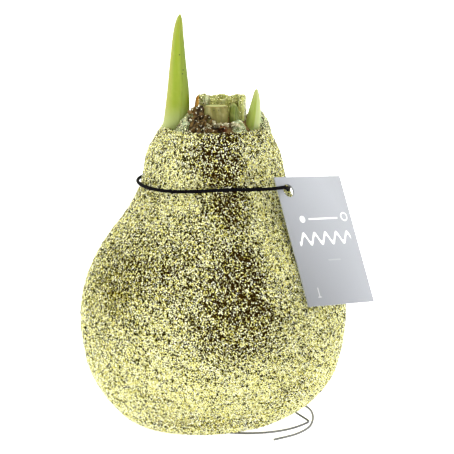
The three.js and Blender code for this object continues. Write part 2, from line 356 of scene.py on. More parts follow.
def grow_smooth(name, stations, steps, sides):
    """A form grown along a smooth curve through the stations, and subdivided once."""
    piece = grow(name, smooth_through(stations, steps), sides)
    smooth_finely(piece, 1)
    return piece


def clouds(name, grain):
    """A cloud texture whose lumps are about `grain` millimetres across."""
    texture = bpy.data.textures.new(name, "CLOUDS")
    texture.noise_scale = grain * mm
    return texture


def roughen(piece, texture, strength, level):
    """Pushes the surface out and in by a cloud texture, over `strength` millimetres."""
    settings = {"strength": strength * mm, "mid_level": level, "texture_coords": "LOCAL"}
    add_modifier(piece, "DISPLACE", texture=texture, **settings)


def spoke_at(degrees):
    """The level direction out from the middle at an angle."""
    turn = math.radians(degrees)
    return Vector((math.cos(turn), math.sin(turn)))


def select_points(piece, chosen):
    """Leaves the piece in edit mode with only the chosen points selected."""
    pick(piece)
    bpy.ops.object.mode_set(mode="EDIT")
    bpy.ops.mesh.select_all(action="DESELECT")
    bpy.ops.object.mode_set(mode="OBJECT")
    piece.data.vertices.foreach_set("select", chosen)
    bpy.ops.object.mode_set(mode="EDIT")


def points_of(piece):
    """The piece's points as a numpy array, in millimetres."""
    flat = np.empty(len(piece.data.vertices) * 3)
    piece.data.vertices.foreach_get("co", flat)
    return flat.reshape(-1, 3) / mm


def move_points(piece, points):
    piece.data.vertices.foreach_set("co", (points * mm).ravel())
    piece.data.update()


def keep_measure(piece, name, values):
    """Stores one number for each point, for a material to read."""
    layer = piece.data.attributes.new(name, "FLOAT", "POINT")
    layer.data.foreach_set("value", np.asarray(values, np.float32))


def hand_over(piece, slot, material, *nodes):
    """The piece takes its finish, rides on the part and stands for its CAD nodes. Its slot is not used."""
    piece.data.materials.clear()
    piece.data.materials.append(material)
    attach(piece, "root")
    if nodes:
        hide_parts(*nodes)
    print(piece.name, len(piece.data.polygons), "faces")


def step_up(values, low, high):
    """0 below low, 1 over high and a soft step between, as the shader's own does."""
    t = np.clip((values - low) / (high - low), 0, 1)
    return t * t * (3 - 2 * t)


# %% [markdown]
# ## The wax coat
# Dipping leaves a skin two or three millimetres thick that follows the bulb: a flat foot, a round belly
# and a long shoulder up to the cut neck. It could be a spun outline, but a real bulb is not quite round,
# so rings are grown up the outside, over the rim and down the inside, and the whole is then pushed off
# round by a few slow waves. A cloud texture adds the small dents that dipping leaves.

# %% Driving sizes of the coat, in millimetres
coat_outline = [  # radius and height
    (19.1, 0), (24.6, 1.5), (32.1, 5), (40.7, 12), (47.0, 22), (49.7, 34), (50.2, 46),
    (47.6, 58), (41.9, 70), (32.9, 82), (27.4, 93), (25.4, 103), (22.4, 111), (20.2, 115.6), (18.1, 117),
]
coat_thickness = 2.6
rim_thickness = 1.4
coat_floor = 3.4
rim_height = 117.0
foot_shift = Vector((-5.2, 5.0))
foot_shift_height = 5.2
neck_shift = 0.4
foot_bulge = 0.055
foot_bulge_height = 4.0
foot_bulge_turn = math.radians(222)
rim_dip = 2.6
rim_dip_start = 104.0
flake_room = 0.2
thin_wall_from = 100


def wall_at(height):
    """How thick the coat is at a height."""
    return coat_thickness if height < thin_wall_from else rim_thickness


def middle_at(height):
    """Where the middle of the bulb is at a height: its foot sits to one side."""
    fade = np.exp(-height / foot_shift_height)
    return foot_shift.x * fade + neck_shift * height / rim_height, foot_shift.y * fade


def lobes_at(angle):
    return 1 + 0.008 * np.sin(2 * angle) + 0.006 * np.sin(3 * angle) + 0.003 * np.sin(5 * angle)


def rim_dip_at(spoke_y):
    """How far the rim is cut lower there: all of it at the front and the sides, nothing at the back."""
    return rim_dip * step_up(-spoke_y, -0.75, 0.1)


def in_bulb_form(x, y, z):
    """Places on round rings, pushed off round, on to the bulb's own middle line, with the rim dipped."""
    angle = np.arctan2(y, x)
    low = np.exp(-(((z - foot_bulge_height) / foot_bulge_height) ** 2))
    bulge = foot_bulge * low * np.maximum(np.cos(angle - foot_bulge_turn), 0) ** 2
    radius = np.hypot(x, y) * (lobes_at(angle) + bulge)
    middle_x, middle_y = middle_at(z)
    dip = rim_dip_at(np.sin(angle)) * step_up(z, rim_dip_start, rim_height)
    return np.column_stack([radius * np.cos(angle) + middle_x, radius * np.sin(angle) + middle_y, z - dip])


def give_bulb_form(piece):
    move_points(piece, in_bulb_form(*points_of(piece).T))


# %% The coat's rings
outer = smooth_through(coat_outline, 3)
inner = []
for radius, height in outer[::-2]:
    if height > coat_floor:
        inner.append((radius - wall_at(height), min(height, rim_height - 0.6)))
inner.append((inner[-1][0] - 2, coat_floor))
rings = [(0, 0, z, r - flake_room, r - flake_room) for r, z in outer]
rings += [(0, 0, z, r, r) for r, z in inner]
wax = grow("wax", rings, 48)
give_bulb_form(wax)
smooth_finely(wax, 2)
roughen(wax, clouds("dents", 11), 0.7, 0.75)
places = points_of(wax)
places[:, 2] = np.maximum(places[:, 2], 0)
move_points(wax, places)
print("wax box in millimetres:", places.min(0).round(1), places.max(0).round(1))

# %% [markdown]
# ## Thin, shaded and golden patches
# Glitter never falls evenly. Some two dozen soft patches, each with a middle and a reach, give two numbers
# from 0 to 1 for any place on the front of the coat. The first thins the flakes and lets the brown wax
# show;
# about the middle of the coat it is painted shade as well, and one patch of negative strength is painted
# light that lightens the glitter beside the card against the card's shadow. The second makes the glitter
# more golden and darker, and heaps the crust low at the front. The wax stores both for its colour, and the
# flakes are sown by them.

# %% Patches
# Most patches thin the glitter; about the middle of the coat they are painted shade too. The one at x 23, z
# 82 has a negative strength: painted light beside the card, against the card's shadow.
thin_and_shade_patches = [  # x, z, reach in x, reach in z, strength, in millimetres
    (1.0, 112, 6.5, 8, 1.0), (4.0, 100, 7, 9, 0.95), (5.5, 89, 6.5, 6.5, 0.88), (10, 113, 6, 7, 0.4),
    (-7, 107, 7, 6, 0.45), (11, 61, 10, 14, 1.0), (14, 86, 5, 5, 0.2), (14, 73, 7, 9, 0.3),
    (9, 43, 17, 8, 0.44), (25, 54, 7, 8, 0.3), (-14, 66, 23, 18, 0.3), (-20, 72, 9, 12, 0.2),
    (-4, 77, 6, 6, 0.3), (-4, 52, 7, 12, 0.18), (23, 82, 7, 18, -0.6), (-11, 60, 7, 8, 0.2),
]
gold_patches = [
    (-34, 60, 10, 11, 1.0), (-24, 97, 6, 8, 0.1), (-21, 9, 6, 3, 0.35), (-13, 12, 6, 4, 0.2),
    (0, 11, 10, 4, 0.5), (15, 9, 6, 3, 0.35), (28, 20, 5, 4, 0.35), (32, 26, 5, 4, 0.3),
    (-19, 22, 5, 3, 0.3),
]
thin_everywhere = 0.16


def patchiness(places, patches):
    """The soft patches at the front added up, from 0 to 1, with ragged edges, for places in millimetres."""
    x, y, z = places.T
    front = step_up(-y, -8, 14)
    total = np.zeros(len(places))
    for patch_x, patch_z, reach_x, reach_z, strength in patches:
        spread = ((x - patch_x) / reach_x) ** 2 + ((z - patch_z) / reach_z) ** 2
        total = total + strength * np.exp(-spread) * front
    waves = 0.3 * np.sin(x / 3.1 + 2 * np.sin(z / 4)) * np.sin(z / 3.7 + y / 6)
    return np.clip(total * (1 + waves), 0, 1)


def thinness_and_shade(places):
    """How thin the glitter is, with the painted shade and light of its patches, from 0 to 1. Behind, it is
    a little thin in slow waves.
    """
    x, y, z = places.T
    behind = step_up(y, -14, 8) * 0.3 * (1 + np.sin(x / 9) * np.sin(z / 13))
    thinner_above_foot = thin_everywhere * step_up(z, 12, 44)
    return np.clip(patchiness(places, thin_and_shade_patches) + behind + thinner_above_foot, 0, 1)


keep_measure(wax, "thinness_and_shade", thinness_and_shade(places))
keep_measure(wax, "gold", patchiness(places, gold_patches))

# %% [markdown]
# ## The bed of the glitter
# Between the flakes that stand out lies a bed of smaller ones, pressed into dark warm wax. Cells of a
# Voronoi texture make it: every cell gets one random colour, which says whether it is a flake or bare
# wax, whether a flake is pale or painted dark, and which way it leans. The dark foil is painted reflection:
# it stands for foil that mirrors the dark parts of the room, so that the speckle is in the colour itself.

# %% Bed of the glitter
bed_cell = 0.38 * mm
wax_finish, graph = finish_named("glitter bed", specular_ior_level=0.06, specular_tint=paint(244, 242, 180))
chance = graph.cells(bed_cell)
split = graph.part(chance, "Red")
tint = graph.part(chance, "Green")
thin = graph.measure("thinness_and_shade")
is_flake = (split - thin * 0.6).above(0.14, 0.18)
bare_wax = graph.blend(graph.cloud(9 * mm).above(0.35, 0.65), paint(52, 42, 0), paint(78, 66, 8))
brown_wax = graph.blend(graph.cloud(1.4 * mm).above(0.4, 0.6), paint(34, 22, 2), paint(84, 62, 14))
bare = graph.blend(thin.above(0.5, 1.0), bare_wax, brown_wax)
# The dark olive foil cells are painted reflection: foil painted dark where it would mirror the dark room.
foil = graph.blend(tint.above(0.14, 0.18), paint(56, 48, 0), paint(250, 246, 180))
foil = graph.blend(graph.measure("gold") * 0.5, foil, paint(150, 132, 26))
lean = graph.node("VectorMath", {"operation": "SUBTRACT"}, {0: chance, 1: (0.5, 0.5, 0.5)})
lean = graph.node("VectorMath", {"operation": "SCALE"}, {0: lean, "Scale": 0.9})
out = graph.node("NewGeometry", give="Normal")
facet = graph.node("VectorMath", {"operation": "ADD"}, {0: out, 1: lean})
facet = graph.node("VectorMath", {"operation": "NORMALIZE"}, {0: facet})
dress(
    graph,
    base_color=graph.blend(is_flake, bare, foil),
    metallic=is_flake * 0.9,
    roughness=0.55 - is_flake * 0.27,
    normal=facet,
)
hand_over(wax, "wax", wax_finish, "wax_coat")

# %% [markdown]
# ## Loose flakes
# The flakes that stand out are snips of foil, half a millimetre to a millimetre across. One is modelled
# and copied: a triangle whose underside runs to a point, so that the point sits in the wax like a tack and
# the flake is closed all round with four faces, for there are very many of them. Particles would be the
# usual way, but an export drops them, so the copies are placed in code. Each has a spot in ragged rows over
# the coat, the direction out of the wax there, and a lean.

# %% One flake
flake_reach = 0.62  # from its middle to a corner, for a flake of size 1
flake_depth = 0.45
least_height = 0.05  # above the floor, in millimetres
start_fresh()
bpy.ops.mesh.primitive_circle_add(vertices=3, radius=flake_reach, fill_type="NGON")
one_flake = bpy.context.object
bpy.ops.object.mode_set(mode="EDIT")
bpy.ops.mesh.select_all(action="SELECT")
bpy.ops.mesh.extrude_region_move(TRANSFORM_OT_translate={"value": (0, 0, -flake_depth)})
bpy.ops.mesh.merge(type="CENTER")
bpy.ops.mesh.select_all(action="SELECT")
bpy.ops.mesh.normals_make_consistent(inside=False)
bpy.ops.object.mode_set(mode="OBJECT")
flake_points = points_of(one_flake) * mm
flake_faces = [list(face.vertices) for face in one_flake.data.polygons]
bpy.data.objects.remove(one_flake)
print("one flake has", len(flake_faces), "faces")

# %% Sowing


def rows_over_coat(pitch):
    """Places in rows round the coat, about `pitch` apart and nudged off their rows, and a draw for each.

    A draw is a random number less part of its neighbours', so that near places seldom have draws alike.
    Whatever share of the flakes is chosen by them lies evenly, as flakes that shoulder each other do.
    """
    nudge = 0.4
    outline = np.array(smooth_through(coat_outline, 12))
    paces = np.linalg.norm(np.diff(outline, axis=0), axis=1)
    walked = np.concatenate([[0], np.cumsum(paces)])
    places = []
    draws = []
    row_before = np.zeros(3)
    for number, along in enumerate(np.arange(0, walked[-1], pitch)):
        count = max(3, round(2 * math.pi * np.interp(along, walked, outline[:, 0]) / pitch))
        steps = np.arange(count)
        nudged = along + rng.uniform(-nudge, nudge, count) * pitch
        turn = 2 * math.pi * (steps + 0.5 * number + rng.uniform(-nudge, nudge, count)) / count
        radius = np.interp(nudged, walked, outline[:, 0])
        height = np.interp(nudged, walked, outline[:, 1])
        places.append(in_bulb_form(radius * np.cos(turn), radius * np.sin(turn), height))
        row = rng.normal(0, 1, count)
        below = row_before[steps * len(row_before) // count]
        draws.append(row - 0.4 * (np.roll(row, 1) + np.roll(row, -1)) - 0.5 * below)
        row_before = row
    draws = np.concatenate(draws)
    return np.concatenate(places), draws.argsort().argsort() / len(draws)


def settle_on(piece, places):
    """The nearest spots of the piece's surface, with the direction out at each."""
    tree = BVHTree.FromObject(piece, bpy.context.evaluated_depsgraph_get())
    found = [tree.find_nearest(Vector(place) * mm)[:2] for place in places]
    spots = np.array([spot for spot, _ in found]) / mm
    return spots, np.array([out for _, out in found])


def sow(triangles, count):
    """Random places on the triangles, evenly over their area, with the direction out at each."""
    cross = np.cross(triangles[:, 1] - triangles[:, 0], triangles[:, 2] - triangles[:, 0])
    area = np.linalg.norm(cross, axis=1)
    chosen = rng.choice(len(triangles), count, p=area / area.sum())
    share = rng.random((count, 2))
    over = share.sum(1) > 1
    share[over] = 1 - share[over]
    a, b, c = np.moveaxis(triangles[chosen], 1, 0)
    spots = a + (b - a) * share[:, :1] + (c - a) * share[:, 1:]
    return spots, cross[chosen] / area[chosen, None]


def lay_flakes(name, spots, outward, sizes, lean, lift):
    """One mesh that holds a copy of the flake at every spot."""
    count = len(spots)
    up = outward + rng.normal(0, lean, (count, 3))
    up /= np.linalg.norm(up, axis=1)[:, None]
    side = np.cross(up, rng.normal(0, 1, (count, 3)))
    side /= np.linalg.norm(side, axis=1)[:, None]
    axes = np.stack([side, np.cross(up, side), up], 1) * sizes[:, None, None]
    points = np.einsum("pk,nkx->npx", flake_points, axes) + (spots + outward * lift)[:, None]
    points[:, :, 2] = np.maximum(points[:, :, 2], least_height)
    start = np.arange(count) * len(flake_points)
    sheet = bpy.data.meshes.new(name)
    corners = [start[:, None] + np.array(face) for face in flake_faces]
    loops = np.concatenate(corners, 1).ravel()
    lengths = np.tile([len(face) for face in flake_faces], count)
    sheet.vertices.add(points.size // 3)
    sheet.vertices.foreach_set("co", (points * mm).ravel())
    sheet.loops.add(len(loops))
    sheet.loops.foreach_set("vertex_index", loops)
    sheet.polygons.add(len(lengths))
    sheet.polygons.foreach_set("loop_start", np.cumsum(lengths) - lengths)
    sheet.update(calc_edges=True)
    piece = bpy.data.objects.new(name, sheet)
    bpy.context.scene.collection.objects.link(piece)
    return piece


# %% Glitter on the coat
flake_pitch = 0.46
flake_sizes = (0.46, 0.7)
flake_lifts = (0.04, 0.2)
flake_lean = 0.3
places, draws = rows_over_coat(flake_pitch)
spots, outward = settle_on(wax, places)
thin_and_shade_share = thinness_and_shade(spots)
gold_share = patchiness(spots, gold_patches)
neck_fade = step_up(spots[:, 2], 113, 116)
stays = draws < 1 - np.maximum(thin_and_shade_share * 0.2, neck_fade * 0.5)
spots, outward, draws, thin_and_shade_share, gold_share = [
    values[stays] for values in (spots, outward, draws, thin_and_shade_share, gold_share)
]
# The dark share is painted reflection: flakes painted dark, brown or bronze where gold mirrors would show
# the dark room. It grows in the thin and shaded patches and in the gold ones.
dark_share = 0.05 + 0.26 * thin_and_shade_share + 0.2 * thin_and_shade_share**2 + 0.22 * gold_share
golden_share = 0.16 + 0.3 * gold_share + 0.15 * thin_and_shade_share
dark = draws < dark_share
golden = ~dark & (rng.random(len(spots)) < golden_share)
shade = rng.random(len(spots))
brown = dark & (shade < thin_and_shade_share * 1.3)
bronze = dark & ~brown & (shade < 0.1 + gold_share * 0.4)
glitter_kinds = [  # name, which of the flakes, colour
    ("glitter_silvery", ~dark & ~golden & (shade < 0.38), paint(254, 254, 234)),
    ("glitter_pale", ~dark & ~golden & (shade >= 0.38) & (shade < 0.7), paint(250, 250, 212)),
    ("glitter_lemon", ~dark & ~golden & (shade >= 0.7), paint(244, 242, 180)),
    ("glitter_gold", golden, paint(223, 217, 126)),
    ("glitter_bronze", bronze, paint(114, 101, 8)),
    ("glitter_brown", brown, paint(44, 29, 4)),
    ("glitter_painted_dark", dark & ~brown & ~bronze, paint(30, 27, 0)),
]
print(len(places), "flakes sown,", len(spots), "kept")
glitter_paints = {}
for name, chosen, colour in glitter_kinds:
    count = int(chosen.sum())
    sizes = rng.uniform(*flake_sizes, count)
    lift = rng.uniform(*flake_lifts, (count, 1))
    if dark[chosen].all():
        sizes = sizes * 1.3
        lift = lift + 0.08
    else:
        sizes = sizes * (1 + 0.3 * thin_and_shade_share[chosen])
        lift = lift + 0.12 * thin_and_shade_share[chosen, None]
    glitter = lay_flakes(name, spots[chosen], outward[chosen], sizes, flake_lean, lift)
    shine = {"metallic": 1.0, "roughness": 0.14, "specular_tint": colour}
    # Flakes painted dark are dull, so that they look dark from every side.
    if dark[chosen].all():
        shine = {"roughness": 0.6, "specular_ior_level": 0.0}
    glitter_paints[name], _ = finish_named(name, base_color=colour, **shine)
    hand_over(glitter, "wax", glitter_paints[name])

# %% [markdown]
# ## Crust round the foot
# The last of the glitter ran down with the wax and set in clumps low at the front. A second layer of
# flakes lies there in heaps, over the first and a little higher.

# %% Crust
crust_top = 30
crust_fade = 5
crust_height = 0.8
crust_sizes = (0.7, 1.1)
crust_lean = 0.5
crust = gold_share * step_up(-spots[:, 2], -crust_top, crust_fade - crust_top)
heaps = [noise.noise(Vector(spot) / 1.7) if share > 0.05 else -1 for spot, share in zip(spots, crust)]
heaped = step_up(np.array(heaps), -0.15, 0.3) * crust
for name, paint_name, share in (
    ("crust_bronze", "glitter_bronze", 0.2), ("crust_dark", "glitter_painted_dark", 0.5),
    ("crust_gold", "glitter_gold", 0.9), ("crust_pale", "glitter_silvery", 1.4),
):
    chosen = rng.random(len(spots)) < heaped * share
    count = int(chosen.sum())
    lift = (heaped[chosen] * crust_height * rng.uniform(0.3, 1, count))[:, None]
    sizes = rng.uniform(*crust_sizes, count)
    clumps = lay_flakes(name, spots[chosen], outward[chosen], sizes, crust_lean, lift)
    hand_over(clumps, "wax", glitter_paints[paint_name])

# %% [markdown]
# ## The bulb in its coat
# Under the wax is the bulb itself. Only its cut neck shows, a shallow brown cup with a raised rim, but the
# body below is there too, a little smaller than the coat's inside, so that the part is whole.

# %% Bulb body
bulb_clearance = 0.34
bulb_bottom = 3.8
body_top = 114
neck_outline = [(15.9, 115.2), (13.6, 117.0), (11.6, 119.2), (10.6, 119.6), (9.6, 118.4), (8.6, 117.4)]
body = []
for radius, height in outer:
    if bulb_bottom < height < body_top:
        inside = radius - wall_at(height) - bulb_clearance
        body.append((0, 0, height, inside, inside))
base_radius = body[0][3] - 3
rings = [(0, 0, bulb_bottom, base_radius, base_radius), *body]
rings += [(0, 0, z, r, r) for r, z in smooth_through(neck_outline, 3)]
bulb = grow("bulb_body", rings, 40)
give_bulb_form(bulb)
smooth_finely(bulb, 1)
scurf = clouds("scurf", 1.6)
roughen(bulb, scurf, 0.5, 0.9)

# %% [markdown]
# ## Dry skin
# Bulb scales dry to thin brown paper, and the scraps that are torn off it are darker. Long soft streaks
# give the grain of the paper, fine clouds its scurf, and a few pale specks are flakes of wax and glitter
# dust, painted near white: partly their own colour and partly painted highlight, as they glint.


# %% Dry skin finish
def dry_skin(name, dark, light, pale_share):
    finish, graph = finish_named(name, specular_ior_level=0.18, subsurface_weight=0.05)
    streaks = graph.cloud(2.2 * mm, 5, stretch=(1, 1, 0.3))
    flecks = graph.cloud(0.5 * mm, 4)
    brown = graph.blend(streaks.above(0.38, 0.62), dark, light)
    brown = graph.blend(flecks.above(0.58, 0.8), brown, paint(172, 152, 116))
    # Pale specks: wax and glitter dust, partly painted highlight.
    speck = graph.part(graph.cells(0.55 * mm), "Red")
    is_speck = speck.above(1 - pale_share, 1.01 - pale_share)
    dress(
        graph,
        base_color=graph.blend(is_speck, brown, paint(250, 248, 222)),
        roughness=0.75 - is_speck * 0.45,
        normal=graph.bump(streaks + flecks * 0.8, 0.5 * mm, 0.8),
    )
    return finish


dry_brown = dry_skin("dry brown skin", paint(40, 29, 8), paint(112, 88, 46), 0.05)
dry_gold = dry_skin("dry golden skin", paint(128, 84, 20), paint(172, 126, 46), 0.02)
hand_over(bulb, "tunic", dry_brown, "bulb")

# %% [markdown]
# ## Scales of the neck
# Round the cut stands a ragged ring of dry scales. One scale is modelled, a tongue with a curled lip and
# a thin wall, and is then copied round the neck with its own lean, size and turn each time. The smaller
# scraps that lie on the wax in front are copies of the same scale too.

# %% One scale
scale_width = 6.4
scale_height = 4.2
scale_wall = 0.28
start_fresh()
bpy.ops.mesh.primitive_plane_add(size=1, location=(0, 0, 0))
scale = bpy.context.object
bpy.ops.object.mode_set(mode="EDIT")
bpy.ops.mesh.select_all(action="SELECT")
bpy.ops.mesh.subdivide(number_cuts=9)
bpy.ops.object.mode_set(mode="OBJECT")
across, along, _ = (points_of(scale) * mm).T
along = along + 0.5
taper = 1 - 0.4 * along**3
ragged = (0.10 * np.sin(23 * across) + 0.07 * np.sin(41 * across + 1)) * along**2 - 0.5 * across**2 * along
curl = 1.5 * across**2 - 0.2 * along**2 + 0.1 * np.sin(9 * across + 4 * along)
shape = [across * scale_width * taper, -curl, (along + ragged) * scale_height]
move_points(scale, np.column_stack(shape))
add_modifier(scale, "SOLIDIFY", thickness=scale_wall * mm, offset=0)
bpy.ops.object.shade_smooth()
print("one scale has", len(scale.data.polygons), "faces")


def copy_placed(model, place, turn, tilt, lean, size):
    """A copy of the model, leaning outward by `tilt` degrees, turned to face `turn`, at `place`."""
    piece = model.copy()
    piece.data = model.data.copy()
    bpy.context.scene.collection.objects.link(piece)
    pose = Matrix.Translation(Vector(place) * mm) @ Matrix.Rotation(math.radians(turn + 90), 4, "Z")
    pose = pose @ Matrix.Rotation(math.radians(tilt), 4, "X") @ Matrix.Rotation(math.radians(lean), 4, "Y")
    piece.data.transform(pose @ Matrix.Diagonal((*size, 1)))
    return piece


def join_all(name, pieces):
    start_fresh()
    for piece in pieces:
        piece.select_set(True)
    bpy.context.view_layer.objects.active = pieces[0]
    bpy.ops.object.join()
    pieces[0].name = name
    return pieces[0]


# %% Scales in their rings
ring_rows = [  # radius, height of the foot, how many, mean tilt out, size
    (15.0, 113.6, 15, -12, 0.9),
    (13.0, 115.4, 14, -20, 0.8),
    (11.0, 116.6, 11, -22, 0.7),
]
scales = []
for radius, foot, count, tilt, size in ring_rows:
    for number in range(count):
        turn = 360 * (number + rng.uniform(-0.3, 0.3)) / count
        spoke = spoke_at(turn)
        height = foot - rim_dip_at(spoke.y)
        place = (radius * spoke.x + neck_shift, radius * spoke.y, height)
        left_side = max(0, -math.cos(math.radians(turn - 20))) ** 2
        stretch = size * rng.uniform(0.85, 1.25)
        tall = size * rng.uniform(0.7, 1.0) * (1 + 0.45 * left_side)
        lean = rng.uniform(-8, 8)
        tilt_out = tilt + rng.uniform(-10, 10)
        scales.append(copy_placed(scale, place, turn, tilt_out, lean, (stretch, 1, tall)))
neck_scales = join_all("neck_scales", scales)
hand_over(neck_scales, "tunic", dry_brown)

# %% Scraps on the wax in front
scrap_count = 34
scrap_reach = (13.6, 17.6)  # from the neck's middle
scrap_height = 118.2
wax_slope = 0.75
scraps = []
for number in range(scrap_count):
    turn = -90 + rng.normal(-12, 12)
    spoke = spoke_at(turn)
    radius = rng.uniform(*scrap_reach)
    height = scrap_height - wax_slope * (radius - scrap_reach[0]) - rim_dip_at(spoke.y)
    place = (radius * spoke.x + neck_shift, radius * spoke.y, height)
    size = rng.uniform(0.25, 0.5)
    tilt = rng.uniform(45, 85)
    scraps.append(copy_placed(scale, place, turn + rng.uniform(-60, 60), tilt, 0, (size, 1, size)))
neck_scraps = join_all("neck_scraps", scraps)
dark_scrap = dry_skin("dark scraps", paint(28, 19, 4), paint(104, 79, 42), 0.06)
hand_over(neck_scraps, "tunic", dark_scrap)

# %% The heap at the left and the pale scraps under the stump
heap_stations = [
    (-3.4, -8.4, 112.5, 4.4, 5.4), (-3.6, -7.8, 115.5, 3.9, 4.4), (-4.0, -6.6, 118.4, 3.0, 3.2),
    (-4.4, -5.4, 121.2, 2.0, 1.9), (-4.4, -5.0, 122.4, 0.4, 0.4),
]
heap = grow_smooth("scale_heap", heap_stations, 4, 28)
roughen(heap, scurf, 1.6, 0.6)
hand_over(heap, "tunic", dark_scrap)
shred_count = 26
shreds = []
for number in range(shred_count):
    slide = rng.random()
    place = (-4.5 + 1.6 * slide + rng.normal(0, 1.1 + 0.7 * slide), -5.6 - 6.6 * slide, 121.2 - 6.4 * slide)
    size = rng.uniform(0.3, 0.55)
    turn = -110 + rng.normal(0, 40)
    tilt = rng.uniform(-10, 60)
    lean = rng.uniform(-25, 25)
    shreds.append(copy_placed(scale, place, turn, tilt, lean, (size, 1, size)))
hand_over(join_all("heap_shreds", shreds), "tunic", dry_brown)
litter_count = 16
litter = []
for number in range(litter_count):
    place = (rng.uniform(-2.5, 9.5), rng.uniform(-13.6, -10.6), rng.uniform(115.4, 116.4))
    size = rng.uniform(0.2, 0.42)
    turn = rng.uniform(-150, -30)
    tilt = rng.uniform(10, 80)
    lean = rng.uniform(-30, 30)
    litter.append(copy_placed(scale, place, turn, tilt, lean, (size, 1, size)))
dry_pale = dry_skin("pale scraps", paint(112, 104, 72), paint(196, 190, 152), 0.1)
hand_over(join_all("pale_litter", litter), "tunic", dry_pale)
red_stations = [
    (3.6, -12.0, 113.0, 1.7, 1.0), (3.6, -12.2, 114.6, 2.2, 1.4), (3.5, -12.0, 116.0, 1.3, 0.9),
    (3.5, -11.9, 116.4, 0.2, 0.2),
]
red_lump = grow_smooth("red_brown_lump", red_stations, 3, 20)
roughen(red_lump, scurf, 0.8, 0.6)
dry_red = dry_skin("dry red skin", paint(44, 18, 6), paint(106, 58, 28), 0.02)
hand_over(red_lump, "tunic", dry_red)

# %% The golden strip at the left
leaf_middle = Vector((3.4, 1.4))
strip_angle = 203
strip_spoke = spoke_at(strip_angle)
strip_reach = 10.2
strip_foot = 117.0
strip_place = (
    leaf_middle.x + strip_reach * strip_spoke.x,
    leaf_middle.y + strip_reach * strip_spoke.y,
    strip_foot,
)
golden_strip = copy_placed(scale, strip_place, strip_angle, -3, 4, (0.62, 1, 2.1))
golden_strip.name = "golden_strip"
hand_over(golden_strip, "tunic", dry_gold)
bpy.data.objects.remove(scale)

# %% [markdown]
# ## Cut leaf bases
# The old leaves were cut off square when the bulb was cleaned. What is left are two sheaths, one in the
# other, open to the front. An arc of edges is drawn in to make the wall's plan and extruded up, and the
# cut is then given its slope and its slightly wavy edge.

# %% Sheaths
leaf_bottom = 113.8
sheath_back_dip = 1.1
sheath_cut_wave = 0.35
sheath_steps = 12
cut_lumps = clouds("cut lumps", 1.3)


def sheath(name, radius, wall, from_turn, to_turn, top):
    """A wall that follows an arc round the leaf middle, open elsewhere."""
    start_fresh()
    bpy.ops.mesh.primitive_circle_add(vertices=72, radius=radius * mm, location=(0, 0, 0))
    piece = bpy.context.object
    piece.name = name
    middle_turn = math.radians((from_turn + to_turn) / 2)
    half = math.radians((to_turn - from_turn) / 2)
    x, y, _ = points_of(piece).T
    away = np.abs(np.angle(np.exp(1j * (np.arctan2(y, x) - middle_turn))))
    select_points(piece, away > half)
    bpy.ops.mesh.delete(type="VERT")
    bpy.ops.mesh.select_all(action="SELECT")
    inward = (radius - wall) / radius
    for share in (0.5, 1.0):
        bpy.ops.mesh.extrude_edges_move()
        before = 1 - (1 - inward) * (share - 0.5)
        now = 1 - (1 - inward) * share
        bpy.ops.transform.resize(value=(now / before, now / before, 1), center_override=(0, 0, 0))
    bpy.ops.mesh.select_all(action="SELECT")
    bpy.ops.mesh.remove_doubles(threshold=0.01 * mm)
    bpy.ops.mesh.normals_make_consistent(inside=False)
    rise = (top - leaf_bottom) / sheath_steps
    bpy.ops.transform.translate(value=(leaf_middle.x * mm, leaf_middle.y * mm, leaf_bottom * mm))
    for _ in range(sheath_steps):
        bpy.ops.mesh.extrude_region_move(TRANSFORM_OT_translate={"value": (0, 0, rise * mm)})
    bpy.ops.mesh.select_all(action="SELECT")
    bpy.ops.mesh.normals_make_consistent(inside=False)
    fix_order()
    bpy.ops.object.mode_set(mode="OBJECT")
    x, y, z = points_of(piece).T
    share = (z - leaf_bottom) / (top - leaf_bottom)
    turn = np.arctan2(y - leaf_middle.y, x - leaf_middle.x)
    back = np.maximum(0, (y - leaf_middle.y) / radius)
    cut = sheath_cut_wave * np.sin(7 * turn + radius) - sheath_back_dip * back
    ribs = 1 + 0.01 * np.sin(17 * turn + z / 3) + 0.012 * np.sin(11 * turn + z / 2)
    x = leaf_middle.x + (x - leaf_middle.x) * ribs
    y = leaf_middle.y + (y - leaf_middle.y) * ribs
    move_points(piece, np.column_stack([x, y, z + cut * share]))
    smooth_finely(piece, 1)
    roughen(piece, cut_lumps, 0.9, 0.55)
    return piece


outer_sheath = sheath("outer_sheath", radius=9.0, wall=2.0, from_turn=-32, to_turn=206, top=125.6)
inner_sheath = sheath("inner_sheath", radius=6.2, wall=1.8, from_turn=14, to_turn=168, top=124.6)

# %% [markdown]
# ## Fresh green
# Growing tissue is smooth and a little see-through, so light goes into it and comes out softer. Colour
# runs along the leaf in fine veins. The cut pieces are moister and more mottled than the new shoots, so
# all of them come from one recipe with other colours, and veins and specks that can be strong or faint.


# %% Green finishes
speck_cell = 0.8 * mm


def green_skin(name, deep, light, mottle, grain, roughness, specks=0.0, veiny=1.0):
    """Leaf green between two colours, with veins that run up, mottling, and a share of dark specks."""
    finish, graph = finish_named(
        name, specular_ior_level=0.35, subsurface_weight=0.12, subsurface_scale=1.5 * mm
    )
    veins = graph.cloud(grain, 3, stretch=(1, 1, 0.06))
    blotch = graph.cloud(grain * 3, 4)
    green = graph.blend((veins.above(0.3, 0.7) - 0.5) * veiny + 0.5, deep, light)
    green = graph.blend(blotch.above(0.5, 0.72) * 0.6, green, mottle)
    if specks:
        chosen = graph.part(graph.cells(speck_cell), "Red").above(1 - specks, 1.001 - specks)
        near = 1 - graph.cells(speck_cell, give="Distance").above(0.2, 0.45)
        green = graph.blend(chosen * near, green, paint(74, 66, 30))
    dress(
        graph,
        base_color=green,
        roughness=roughness + blotch * 0.12,
        normal=graph.bump(veins * veiny + blotch * 0.4, 0.22 * mm, 0.45),
    )
    return finish, graph, green


